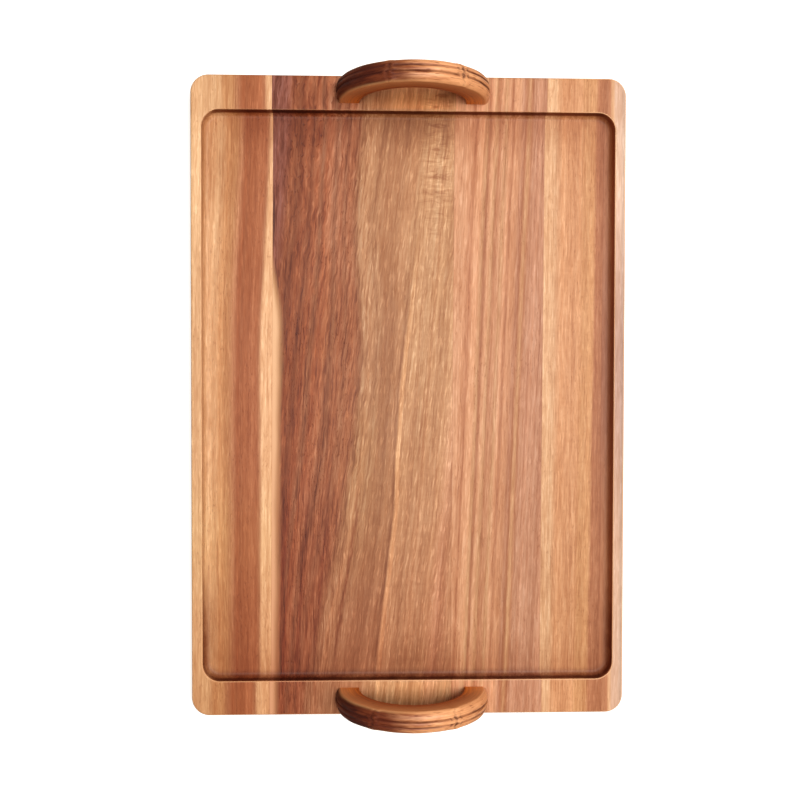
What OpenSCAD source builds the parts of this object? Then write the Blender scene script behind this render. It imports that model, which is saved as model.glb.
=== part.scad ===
// Rectangular wooden serving tray: a board glued up from staves, with a shallow
// well cut into it, and two half-round bamboo handles that stand on its end rims.
// X runs across the tray, Y along it and the grain, Z up. The underside is z = 0.

/* [Board] */
// Width of the board, across the grain
board_w = 340; // [320:1:400]
// Length of the board, along the grain
board_l = 500; // [460:1:600]
// Thickness of the board
board_t = 19; // [18:0.5:25]
// Radius of the board's corners, seen from above
corner_r = 14; // [8:0.5:18]

/* [Well] */
// Width of the rim along each long side
side_rim = 8.5; // [8:0.5:14]
// Width of the rim across each end
end_rim = 27; // [24:0.5:40]
// Depth of the well below the rim
well_depth = 10; // [7:0.5:12]
// Radius of the well's corners, seen from above
well_r = 13.5; // [9:0.5:20]
// Radius of the cove between the well's wall and its floor
cove_r = 4; // [2:0.5:6]

/* [Staves] */
// Place of the first glue line, from the centre line at mid-length
glue_1 = -108; // [-120:0.5:-90]
// Place of the second glue line
glue_2 = 35; // [10:0.5:60]
// Place of the third glue line
glue_3 = 106.5; // [90:0.5:120]
// Place of the fourth glue line
glue_4 = 154; // [140:0.5:155]
// How far each glue line drifts sideways over the board's length
glue_drift = 2.5; // [0:0.5:4]

/* [Handles] */
// Inner radius of the half ring, which is the room for the fingers
grip_r = 41.5; // [36:0.5:46]
// Thickness of the half ring at its flat faces
handle_t = 16.5; // [14:0.5:18]
// Width of the half ring, along the tray
handle_w = 16; // [14:0.5:18]
// Rise of the crowned outer skin over its edges
crown = 2.4; // [1:0.1:3]
// Width of the rib next to the well
wide_rib = 7; // [5:0.5:8]
// Width of the middle rib
middle_rib = 4.5; // [3:0.5:6]
// Depth of the two grooves between the ribs
groove_depth = 1.2; // [0.5:0.1:1.5]
// Sideways offset of both handles from the centre line
handle_offset = 2.5; // [-5:0.5:5]

/* [Screws] */
// Diameter of the screw's shank
screw_d = 4; // [3.5:0.5:5]
// Diameter of the flat head
head_d = 8; // [7:0.5:9]
// Overall length of the screw
screw_l = 30; // [25:1:32]
// Distance of each screw from the handle's middle
screw_x = 48.5; // [45:0.5:50]
// Depth of the head below the underside
head_sink = 4; // [2:0.5:6]

/* [Hidden] */
$fn = 64;

floor_z = board_t - well_depth;
well_w = board_w - 2 * side_rim;
well_l = board_l - 2 * end_rim;
handle_y = (board_l - end_rim) / 2;      // both handles stand in the middle of the end rims
rim_r = grip_r + handle_t;               // outer radius at the flat faces
crest_r = rim_r + crown;                 // outer radius along the crown
crown_r = (pow(handle_w / 2, 2) + crown * crown) / (2 * crown);
groove_1 = handle_w / 2 - wide_rib;      // across the handle, positive towards the well
groove_2 = groove_1 - middle_rib;
head_cone = (head_d - screw_d) / 2;      // height of the 90 degree cone under the head
hole_play = 0.05;                        // radial play between a shank and its pilot hole
shank_play = 0.2;                        // radial play between a shank and the board
counterbore_play = 0.75;                 // radial play around a head
tip_l = 3;                               // length of a screw's point
cross_arm = 4.6;                         // span of the head's cross recess
cross_slot = 1.1;                        // width of each slot in it
cross_depth = 1.6;
over = 1;                                // how far a cutter reaches past a face

// The staves' sides from left to right: place at mid-length, and drift over the board's length
sides = [[-board_w / 2 - over, 0], [glue_1, glue_drift], [glue_2, glue_drift],
         [glue_3, glue_drift], [glue_4, glue_drift], [board_w / 2 + over, 0]];
function side_x(n, y) = sides[n][0] + sides[n][1] * y / board_l;

// Outer radius of the crowned skin at a distance w across the handle
function skin_r(w) = crest_r - crown_r + sqrt(crown_r * crown_r - w * w);

// ---- board ----

module round_rect(w, l, r) {
    square([w - 2 * r, l], center = true);
    square([w, l - 2 * r], center = true);
    for (x = [-1, 1], y = [-1, 1])
        translate([x * (w / 2 - r), y * (l / 2 - r)]) circle(r = r);
}

// Section through the well across a width w: a slot with a cove in both bottom corners
module well_section(w) {
    translate([-w / 2, cove_r]) square([w, well_depth - cove_r + over]);
    translate([cove_r - w / 2, 0]) square([w - 2 * cove_r, well_depth]);
    for (x = [-1, 1])
        translate([x * (w / 2 - cove_r), cove_r]) circle(r = cove_r);
}

// Half of that section, for turning a corner of the well
module corner_section() {
    intersection() {
        well_section(2 * well_r);
        square([well_r + over, well_depth + over]);
    }
}

module well_cutter() {
    translate([0, 0, floor_z]) {
        translate([0, well_l / 2 - well_r, 0]) rotate([90, 0, 0])
            linear_extrude(well_l - 2 * well_r) well_section(well_w);
        translate([well_r - well_w / 2, 0, 0]) rotate([90, 0, 90])
            linear_extrude(well_w - 2 * well_r) well_section(well_l);
        for (x = [-1, 1], y = [-1, 1])
            translate([x * (well_w / 2 - well_r), y * (well_l / 2 - well_r), 0])
                rotate_extrude() corner_section();
    }
}

// One stave's slab, between side n and side n + 1 of the list of sides
module stave_slab(n) {
    y = board_l / 2 + over;
    translate([0, 0, -over]) linear_extrude(board_t + 2 * over)
        polygon([[side_x(n, -y), -y], [side_x(n + 1, -y), -y], [side_x(n + 1, y), y], [side_x(n, y), y]]);
}

module screw_places(y_side)
    for (x = [-1, 1])
        translate([handle_offset + x * screw_x, y_side * handle_y, 0]) children();

module screw_hole() {
    translate([0, 0, -over]) cylinder(r = head_d / 2 + counterbore_play, h = head_sink + over);
    translate([0, 0, head_sink]) cylinder(r1 = head_d / 2, r2 = screw_d / 2, h = head_cone);
    translate([0, 0, head_sink]) cylinder(r = screw_d / 2 + shank_play, h = board_t);
}

module stave(n) {
    difference() {
        intersection() {
            linear_extrude(board_t) round_rect(board_w, board_l, corner_r);
            stave_slab(n);
        }
        well_cutter();
        for (y_side = [-1, 1]) screw_places(y_side) screw_hole();
    }
}

module left_stave() color("burlywood") stave(0);
module heartwood_stave() color("sienna") stave(1);
module striped_stave() color("peru") stave(2);
module golden_stave() color("sandybrown") stave(3);
module right_edge_strip() color("tan") stave(4);

// ---- handles ----

// Section of the half ring: radius along X, width along Y, the well side at +Y
module handle_section() {
    difference() {
        intersection() {
            translate([grip_r, -handle_w / 2]) square([handle_t + crown, handle_w]);
            translate([crest_r - crown_r, 0]) circle(r = crown_r);
        }
        for (w = [groove_1, groove_2])
            translate([skin_r(w), w]) rotate(45)
                square(groove_depth * sqrt(2), center = true);
    }
}

// Half ring standing on the rim, as the back handle
module half_ring() {
    translate([handle_offset, handle_y, board_t]) rotate([90, 0, 0])
        rotate_extrude(angle = 180) handle_section();
}

module pilot_hole()
    cylinder(r = screw_d / 2 + hole_play, h = head_sink + screw_l + over);

module handle(y_side) {
    difference() {
        if (y_side > 0) half_ring(); else mirror([0, 1, 0]) half_ring();
        screw_places(y_side) pilot_hole();
    }
}

module back_handle() color("chocolate") handle(1);
module front_handle() color("chocolate") handle(-1);

// ---- screws ----

// Flat-head wood screw, driven upwards from the underside
module screw() {
    translate([0, 0, head_sink]) difference() {
        union() {
            cylinder(r1 = head_d / 2, r2 = screw_d / 2, h = head_cone);
            cylinder(r = screw_d / 2, h = screw_l - tip_l);
            translate([0, 0, screw_l - tip_l]) cylinder(r1 = screw_d / 2, r2 = screw_d / 8, h = tip_l);
        }
        for (turn = [0, 90])
            rotate(turn) cube([cross_arm, cross_slot, 2 * cross_depth], center = true);
    }
}

module back_handle_screws() color("silver") screw_places(1) screw();
module front_handle_screws() color("silver") screw_places(-1) screw();

left_stave();
heartwood_stave();
striped_stave();
golden_stave();
right_edge_strip();
back_handle();
front_handle();
back_handle_screws();
front_handle_screws();
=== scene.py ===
import math

import bmesh
import bpy
import numpy as np
from bpy.props import FloatProperty, FloatVectorProperty, IntProperty, PointerProperty
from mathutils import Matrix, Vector


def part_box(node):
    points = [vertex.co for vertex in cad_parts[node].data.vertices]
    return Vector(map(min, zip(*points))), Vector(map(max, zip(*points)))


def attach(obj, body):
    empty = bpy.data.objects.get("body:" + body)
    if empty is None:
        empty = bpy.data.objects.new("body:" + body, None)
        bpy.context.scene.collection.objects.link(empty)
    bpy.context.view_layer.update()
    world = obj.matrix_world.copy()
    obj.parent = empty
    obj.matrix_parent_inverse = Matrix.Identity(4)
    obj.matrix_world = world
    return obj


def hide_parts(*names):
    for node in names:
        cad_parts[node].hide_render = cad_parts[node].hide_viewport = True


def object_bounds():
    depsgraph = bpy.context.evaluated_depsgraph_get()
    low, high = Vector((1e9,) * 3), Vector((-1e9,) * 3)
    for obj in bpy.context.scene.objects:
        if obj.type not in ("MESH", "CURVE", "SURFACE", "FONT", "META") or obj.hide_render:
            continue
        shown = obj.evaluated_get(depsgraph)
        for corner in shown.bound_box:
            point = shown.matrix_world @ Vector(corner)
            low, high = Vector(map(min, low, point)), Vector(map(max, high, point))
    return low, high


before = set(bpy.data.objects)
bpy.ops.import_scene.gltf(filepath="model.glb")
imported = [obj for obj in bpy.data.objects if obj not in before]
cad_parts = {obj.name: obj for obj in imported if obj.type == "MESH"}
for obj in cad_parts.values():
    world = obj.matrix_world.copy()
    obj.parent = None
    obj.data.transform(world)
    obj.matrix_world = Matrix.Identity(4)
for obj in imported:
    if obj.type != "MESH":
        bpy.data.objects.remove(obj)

CAD_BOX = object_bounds()

bl_info = {
    "name": "Wooden serving tray",
    "version": (1, 0, 0),
    "blender": (4, 5, 0),
    "location": "View3D > Sidebar > Tray",
    "description": "Glued-up serving tray with a shallow well and two half-round bamboo handles",
    "category": "Object",
}

MM = 0.001


def box_mm(*nodes):
    """Lowest and highest corner of some CAD nodes together, in millimetres."""
    boxes = [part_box(node) for node in nodes]
    low = np.min([np.array(b[0]) for b in boxes], axis=0) / MM
    high = np.max([np.array(b[1]) for b in boxes], axis=0) / MM
    return low, high


STAVE_NODES = ("left_stave", "heartwood_stave", "striped_stave", "golden_stave", "right_edge_strip")
BOARD_LOW, BOARD_HIGH = box_mm(*STAVE_NODES)
BOARD_SIZE = BOARD_HIGH - BOARD_LOW
BOARD_TOP = BOARD_HIGH[2]
HANDLE_LOW, HANDLE_HIGH = box_mm("back_handle")
HANDLE_CENTRE = (HANDLE_LOW[0] + HANDLE_HIGH[0]) / 2
HANDLE_CREST = (HANDLE_HIGH[0] - HANDLE_LOW[0]) / 2    # outer radius along the crown
FLAT_RING = 0.6                                        # keeps the big faces next to a rounding flat
SHANK_PLAY = 0.2                                       # room round a screw's shank in the board
MERGE = 0.002                                          # points nearer than this become one
DRILL_STEPS = 48                                       # faces round each screw hole
OUTLINE_POINTS = 201                                   # points across the ribs of a handle
BOARD_SHARP = 32.0        # degrees between two faces, past which the edge between them stays sharp
ROUND_SHARP = 40.0        # the same on the handles and screws

SCREW_ROUND = 40          # points round a screw
FACE_RINGS, CONE_RINGS, BODY_RINGS = 26, 5, 130
SLOT_SLOPE, ARM_SLOPE = 0.18, 0.9     # how far the walls of the cross recess run
THREAD_START = 0.32                   # where the thread starts, as a share of the screw's length
THREAD_DEPTH = 0.32                   # as a share of the shank's radius
THREAD_RISE = 1.5                     # length over which the thread comes up
TIP_LENGTH = 4.0
TIP_RADIUS = 0.12                     # of the point, as a share of the shank's radius

FLOOR_HALF = 8.0                      # metres from the middle of the studio floor to its sides
FLOOR_GAP = 0.0002                    # metres from the tray down to the floor
GLOW_RANGE = (1.2, 5.0)               # metres between which the floor's glow grows
GLOW_STRENGTH = (0.5, 0.86)
CAMERA_PLACE = (-0.02985, 0.0143)     # metres from the middle of the tray
CAMERA_TURN = (-1.25, -1.73, 0.1)     # degrees from straight down


def linear(red, green, blue):
    """A colour given as three display values from 0 to 255, as scene-linear values."""
    value = np.array((red, green, blue)) / 255.0
    return tuple(np.where(value <= 0.04045, value / 12.92, ((value + 0.055) / 1.055) ** 2.4))


def length(name, description, default, **limits):
    """A length property in metres, whose default is given in millimetres."""
    return FloatProperty(name=name, description=description, default=default * MM,
                         unit="LENGTH", subtype="DISTANCE", precision=4, **limits)


def colour(name, description, red, green, blue):
    """A colour property whose default is given in display values."""
    return FloatVectorProperty(name=name, description=description, default=linear(red, green, blue),
                               subtype="COLOR", size=3, min=0.0, max=1.0)


# ---- what a user would change ----


class BoardSizes(bpy.types.PropertyGroup):
    side_rim: length("Side rim", "Width of the rim along each long side", 8.5)
    end_rim: length("End rim", "Width of the rim across each end", 27)
    well_depth: length("Well depth", "Depth of the well below the rim", 10)
    well_corner: length("Well corner", "Radius of the well's corners, seen from above", 13.5)
    cove: length("Cove", "Radius between the well's wall and its floor", 4)
    corner: length("Board corner", "Radius of the board's corners, seen from above", 14)
    edge_round: length("Edge rounding", "Radius of the rounding along the board's outer edges", 1.6)
    lip_round: length("Lip rounding", "Radius of the rounding along the well's lip", 0.9)
    glue_lines: FloatVectorProperty(
        name="Glue lines", description="Places of the four glue lines at mid-length", size=4,
        default=(-0.108, 0.035, 0.1065, 0.154), unit="LENGTH", precision=4)
    glue_drift: length("Glue drift", "Sideways drift of each glue line over the board's length", 2.5)
    hole: length("Screw hole", "Radius of the counterbore over each screw's head", 4.75)
    arc_steps: IntProperty(name="Corner steps", description="Faces round each corner", default=14, min=4)


class WoodColours(bpy.types.PropertyGroup):
    cream: colour("Cream sapwood", "Palest stripes next to the glue lines", 247, 196, 150)
    straw: colour("Straw", "Pale wood along the left rim", 246, 198, 150)
    amber: colour("Amber", "Golden stave's main colour", 232, 170, 122)
    sand: colour("Sand", "Light stripes of the striped stave", 232, 172, 131)
    tan: colour("Tan", "Light side of the heartwood stave", 222, 167, 122)
    rose: colour("Rose tan", "Greyish pink wood of the striped stave", 212, 154, 121)
    honey: colour("Honey", "Middle tone of the left stave", 224, 164, 113)
    russet: colour("Russet", "Reddish stripes", 202, 136, 96)
    biscuit: colour("Biscuit", "Middle of the heartwood stave", 204, 146, 104)
    chestnut: colour("Chestnut", "Heartwood", 184, 113, 74)
    rust: colour("Rust", "Rusty streak of the left stave", 180, 106, 66)
    cocoa: colour("Cocoa", "Dark heartwood", 170, 93, 54)
    plum: colour("Plum", "Darkest heartwood", 150, 86, 66)
    pink: colour("Pale pink", "Edge strip on the right", 236, 194, 166)
    bamboo: colour("Bamboo", "Cut faces of the handles", 172, 80, 8)
    skin: colour("Bamboo skin", "Outer skin of the handles", 240, 170, 116)
    # darkens the joints, and the grooves partly as burnt bamboo and partly as painted shade
    scorch_and_shade: colour("Scorched bamboo", "Grooves and joints of the handles", 78, 26, 10)
    steel: colour("Screw steel", "Zinc-plated screws", 205, 205, 208)
    gain: FloatProperty(name="Wood lightness", description="Lightens or darkens all the wood",
                        default=0.9, min=0.3, max=1.5)


class HandleSizes(bpy.types.PropertyGroup):
    grip: length("Grip radius", "Inner radius of each half ring", 41.5)
    crown: length("Crown", "Rise of the outer skin over its edges", 2.4)
    wide_rib: length("Wide rib", "Width of the rib next to the well", 7)
    middle_rib: length("Middle rib", "Width of the middle rib", 4.5)
    groove: length("Groove depth", "Depth of the valleys between the ribs", 1.7)
    ridge: length("Joint ridge", "Height of the bamboo's joints over the skin", 0.8)
    rib_shape: FloatProperty(name="Rib shape", description="Higher is flatter ribs and narrower valleys",
                             default=2.6, min=1.5, max=8.0)
    round_steps: IntProperty(name="Steps round", description="Faces round the section", default=168, min=48)
    arch_steps: IntProperty(name="Steps along", description="Faces along each half ring",
                            default=150, min=32)


class ScrewSizes(bpy.types.PropertyGroup):
    shank: length("Shank", "Diameter of the screw's shank", 4)
    head: length("Head", "Diameter of the flat head", 8)
    pitch: length("Pitch", "Distance from one thread to the next", 1.8)
    recess: length("Recess", "Depth of the cross recess", 1.6)
    arm: length("Cross arm", "Span of the cross recess", 4.6)
    slot: length("Cross slot", "Width of each slot of the recess", 1.1)


class StageSettings(bpy.types.PropertyGroup):
    camera_height: FloatProperty(name="Camera height", description="Height of the camera over the rim",
                                 default=0.7515, unit="LENGTH")
    lens: FloatProperty(name="Lens", description="Focal length of the camera in millimetres",
                        default=43.2, unit="CAMERA")
    key_power: FloatProperty(name="Key light", description="Power of the soft key light",
                             default=115.0, unit="POWER")
    fill_power: FloatProperty(name="Top light", description="Power of the soft light overhead",
                              default=17.0, unit="POWER")
    room_light: FloatProperty(name="Room light", description="Strength of the even light all round",
                              default=0.17)


# ---- mesh helpers ----


def grid_faces(rows, columns):
    """Quads between the rows and columns of a grid of points, as an array of point numbers.

    Point number = row * columns + column. The last column joins the first."""
    row, column = np.meshgrid(np.arange(rows - 1), np.arange(columns), indexing="ij")
    beside = (column + 1) % columns
    quads = np.stack((row * columns + column, row * columns + beside,
                      (row + 1) * columns + beside, (row + 1) * columns + column), axis=-1)
    return quads.reshape(-1, 4)


def tube_mesh(name, points):
    """A mesh of rings: points is rows x columns x 3 in metres, each row a closed ring. The first and
    last rings are filled."""
    rows, columns = points.shape[:2]
    faces = grid_faces(rows, columns).tolist()
    faces.append(list(range(columns))[::-1])
    faces.append(list(range((rows - 1) * columns, rows * columns)))
    mesh = bpy.data.meshes.new(name)
    mesh.from_pydata(points.reshape(-1, 3), [], faces)
    return mesh


def settle(mesh, angle=BOARD_SHARP):
    """Merges doubles, turns the faces outwards, triangulates big faces, and shades the mesh smooth
    between its sharp edges."""
    bm = bmesh.new()
    bm.from_mesh(mesh)
    bmesh.ops.remove_doubles(bm, verts=bm.verts, dist=MERGE * MM)
    bmesh.ops.triangulate(bm, faces=[f for f in bm.faces if len(f.verts) > 4])
    bmesh.ops.recalc_face_normals(bm, faces=bm.faces)
    bm.to_mesh(mesh)
    bm.free()
    mesh.shade_smooth()
    mesh.set_sharp_from_angle(angle=math.radians(angle))
    mesh.update()
    return mesh


def add_piece(name, mesh, node, material):
    """Puts a finished mesh in the scene in place of its CAD node."""
    piece = bpy.data.objects.new(name, mesh)
    bpy.context.scene.collection.objects.link(piece)
    mesh.materials.clear()
    mesh.materials.append(material)
    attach(piece, "root")
    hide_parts(node)


def arc(steps, start, end):
    """Cosine and sine of evenly spaced angles, given in degrees."""
    angle = np.radians(np.linspace(start, end, steps))
    return np.cos(angle), np.sin(angle)


# ---- board ----


def board_mesh(sizes):
    """The whole board as one lofted surface, before it is sawn into staves.

    Each ring is a rounded rectangle: four quarter circles of radius r about corners that stand
    r inside the half width and half length. From ring to ring the rectangle grows out from the
    underside round the outer edge, up the side, in over the rim, down the lip's rounding and the
    well's wall, and round the cove on to the floor."""
    edge, lip, cove = sizes.edge_round / MM, sizes.lip_round / MM, sizes.cove / MM
    width, long, thick = BOARD_SIZE
    well_w, well_l = width - 2 * sizes.side_rim / MM, long - 2 * sizes.end_rim / MM
    floor = thick - sizes.well_depth / MM
    low_cos, low_sin = arc(6, -90, 0)
    high_cos, high_sin = arc(6, 0, 90)
    inner = [-edge - FLAT_RING]
    outer_grow = np.concatenate((inner, edge * (low_cos - 1), edge * (high_cos - 1), inner))
    outer_z = np.concatenate(([0.0], edge * (1 + low_sin), thick - edge * (1 - high_sin), [thick]))
    lip_cos, lip_sin = arc(5, 90, 0)
    cove_cos, cove_sin = arc(9, 0, 90)
    well_grow = np.concatenate(([lip + FLAT_RING], lip * (1 - lip_cos), cove * (cove_cos - 1),
                                [-cove - FLAT_RING]))
    well_z = np.concatenate(([thick], thick - lip * (1 - lip_sin), floor + cove * (1 - cove_sin), [floor]))
    half_w = np.concatenate((width / 2 + outer_grow, well_w / 2 + well_grow))[:, None]
    half_l = np.concatenate((long / 2 + outer_grow, well_l / 2 + well_grow))[:, None]
    radius = np.concatenate((sizes.corner / MM + outer_grow, sizes.well_corner / MM + well_grow))[:, None]
    height = np.concatenate((outer_z, well_z))[:, None]
    turn = np.linspace(0, np.pi / 2, sizes.arc_steps)
    angle = (turn[None, :] + np.pi / 2 * np.arange(4)[:, None]).ravel()[None, :]
    side_x = np.repeat((1, -1, -1, 1), sizes.arc_steps)[None, :]
    side_y = np.repeat((1, 1, -1, -1), sizes.arc_steps)[None, :]
    x = side_x * (half_w - radius) + radius * np.cos(angle)
    y = side_y * (half_l - radius) + radius * np.sin(angle)
    points = np.stack((x, y, np.broadcast_to(height, x.shape)), axis=-1) * MM
    return tube_mesh("board_blank", points)


def saw(mesh, place, drift, keep_right):
    """Cuts a closed mesh along an upright glue plane and closes the cut."""
    bm = bmesh.new()
    bm.from_mesh(mesh)
    normal = Vector((1.0, -drift, 0.0)) * (1 if keep_right else -1)
    cut = bmesh.ops.bisect_plane(bm, geom=bm.verts[:] + bm.edges[:] + bm.faces[:], dist=1e-7,
                                 plane_co=(place, 0, 0), plane_no=normal, clear_inner=True)
    edges = [part for part in cut["geom_cut"] if isinstance(part, bmesh.types.BMEdge)]
    bmesh.ops.contextual_create(bm, geom=edges)
    bm.to_mesh(mesh)
    bm.free()


def turned_mesh(name, radius, height, centre):
    """A surface of revolution: radius and height along an outline, turned about an upright axis."""
    angle = np.linspace(0, 2 * np.pi, DRILL_STEPS, endpoint=False)[None, :]
    x = centre[0] + radius[:, None] * np.cos(angle)
    y = centre[1] + radius[:, None] * np.sin(angle)
    points = np.stack((x, y, np.broadcast_to(height[:, None], x.shape)), axis=-1) * MM
    return tube_mesh(name, points)


def bore(mesh, sizes, screws, centre, sink):
    """Cuts one counterbored screw hole up through the board."""
    head, shank = screws.head / MM / 2, screws.shank / MM / 2 + SHANK_PLAY
    big = sizes.hole / MM
    seat = sink + head - shank
    top = BOARD_TOP + 1
    cutter_mesh = turned_mesh("drill", np.array((big, big, head, shank, shank)),
                              np.array((-1.0, sink, sink, seat, top)), centre)
    settle(cutter_mesh)
    cutter = bpy.data.objects.new("drill", cutter_mesh)
    blank = bpy.data.objects.new("blank", mesh)
    for thing in (cutter, blank):
        bpy.context.scene.collection.objects.link(thing)
    cut = blank.modifiers.new("hole", "BOOLEAN")
    cut.operation, cut.solver, cut.object = "DIFFERENCE", "EXACT", cutter
    bpy.context.view_layer.update()
    graph = bpy.context.evaluated_depsgraph_get()
    bored = bpy.data.meshes.new_from_object(blank.evaluated_get(graph))
    for thing in (cutter, blank):
        bpy.data.objects.remove(thing)
    return bored


# ---- shader helpers ----


def plug(value, socket):
    """Joins a value to a socket, or sets the socket to a number or a colour."""
    if isinstance(value, Value):
        socket.id_data.links.new(value.socket, socket)
    else:
        socket.default_value = value


def add_node(tree, kind, inputs, **settings):
    """Adds a node with some settings, and plugs its first inputs in order."""
    node = tree.nodes.new("ShaderNode" + kind)
    for name, setting in settings.items():
        setattr(node, name, setting)
    for value, socket in zip(inputs, node.inputs):
        plug(value, socket)
    return node


def opaque(colour):
    """A colour with an alpha of 1. A value is passed on as it is."""
    return colour if isinstance(colour, Value) else (*colour, 1.0)


class Value:
    """What a node of a material gives, with the sums that can be done on it."""

    def __init__(self, socket):
        self.socket = socket
        self.tree = socket.id_data

    def math(self, operation, *others):
        return Value(add_node(self.tree, "Math", (self, *others), operation=operation).outputs[0])

    def __add__(self, other):
        return self.math("ADD", other)

    def __sub__(self, other):
        return self.math("SUBTRACT", other)

    def __rsub__(self, other):
        return Value(add_node(self.tree, "Math", (other, self), operation="SUBTRACT").outputs[0])

    def __mul__(self, other):
        return self.math("MULTIPLY", other)

    def __abs__(self):
        return self.math("ABSOLUTE")

    def larger(self, other):
        return self.math("MAXIMUM", other)

    def blend(self, other, factor):
        """This value + the other * the factor."""
        return other.math("MULTIPLY_ADD", factor, self)

    def wander(self, noise, amount):
        """This value, moved either way by up to half the amount."""
        return self.blend(noise - 0.5, amount)

    def ease(self, start, end, low=0.0, high=1.0):
        """Goes smoothly from low to high as this value goes from start to end."""
        if start > end:
            start, end, low, high = end, start, high, low
        node = add_node(self.tree, "MapRange", (self, start, end, low, high),
                        interpolation_type="SMOOTHSTEP")
        return Value(node.outputs[0])

    def near(self, centre, width):
        """1 at the centre, falling smoothly to 0 at a width from it."""
        return abs(self - centre).ease(width, 0.0)

    def ramp(self, stops):
        """Colours along this value: stops is a list of (value, colour), in rising order."""
        start, end = stops[0][0], stops[-1][0]
        span = add_node(self.tree, "MapRange", (self, start, end, 0.0, 1.0))
        node = add_node(self.tree, "ValToRGB", (Value(span.outputs[0]),))
        elements = node.color_ramp.elements
        while len(elements) < len(stops):
            elements.new(0.5)
        for element, (at, tone) in zip(elements, stops):
            element.position = (at - start) / (end - start)
        for element, (at, tone) in zip(elements, stops):
            element.color = opaque(tone)
        return Value(node.outputs[0])


def parts(vector):
    node = add_node(vector.tree, "SeparateXYZ", (vector,))
    return [Value(output) for output in node.outputs]


def noise(x, y, z, stretch, detail=1.0, roughness=0.5, seed=0.0, distortion=0.0):
    """Noise from 0 to 1 whose grains are as long as stretch along each axis."""
    shifts = (seed, seed * 0.37, seed * 0.71)
    scaled = [value.math("MULTIPLY_ADD", 1.0 / size, shift)
              for value, size, shift in zip((x, y, z), stretch, shifts)]
    join = add_node(x.tree, "CombineXYZ", scaled)
    node = add_node(x.tree, "TexNoise", (Value(join.outputs[0]),))
    for name, number in (("Scale", 1.0), ("Detail", detail), ("Roughness", roughness),
                         ("Distortion", distortion)):
        node.inputs[name].default_value = number
    return Value(node.outputs["Fac"])


def lay(base, colour, factors, mode):
    """Lays a colour over a base, as far as the product of the factors says."""
    share = factors[0]
    for factor in factors[1:]:
        share = share * factor
    node = add_node(share.tree, "Mix", (), data_type="RGBA", blend_type=mode, clamp_factor=True)
    plug(share, node.inputs["Factor"])
    plug(opaque(base), node.inputs["A"])
    plug(opaque(colour), node.inputs["B"])
    return Value(node.outputs["Result"])


def shade(base, colour, *factors):
    return lay(base, colour, factors, "MULTIPLY")


def paint(base, colour, *factors):
    return lay(base, colour, factors, "MIX")


class Finish:
    """One material. Its x, y and z are the place on the piece, in millimetres."""

    def __init__(self, name):
        self.material = bpy.data.materials.new(name)
        self.material.use_nodes = True
        self.tree = self.material.node_tree
        self.shader = self.tree.nodes["Principled BSDF"]
        coordinates = self.tree.nodes.new("ShaderNodeTexCoord")
        self.normal = Value(coordinates.outputs["Normal"])
        size = add_node(self.tree, "VectorMath", (Value(coordinates.outputs["Object"]),), operation="SCALE")
        size.inputs["Scale"].default_value = 1 / MM
        self.x, self.y, self.z = parts(Value(size.outputs[0]))

    def bump(self, height, depth):
        node = self.tree.nodes.new("ShaderNodeBump")
        node.inputs["Strength"].default_value = 1.0
        node.inputs["Distance"].default_value = depth * MM
        plug(height, node.inputs["Height"])
        plug(Value(node.outputs[0]), self.shader.inputs["Normal"])

    def finished(self, colour, roughness, specular=0.5, metal=0.0):
        """Joins the colour and the roughness to the shader, and gives the material."""
        plug(colour, self.shader.inputs["Base Color"])
        plug(roughness, self.shader.inputs["Roughness"])
        self.shader.inputs["Specular IOR Level"].default_value = specular
        self.shader.inputs["Metallic"].default_value = metal
        return self.material
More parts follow.
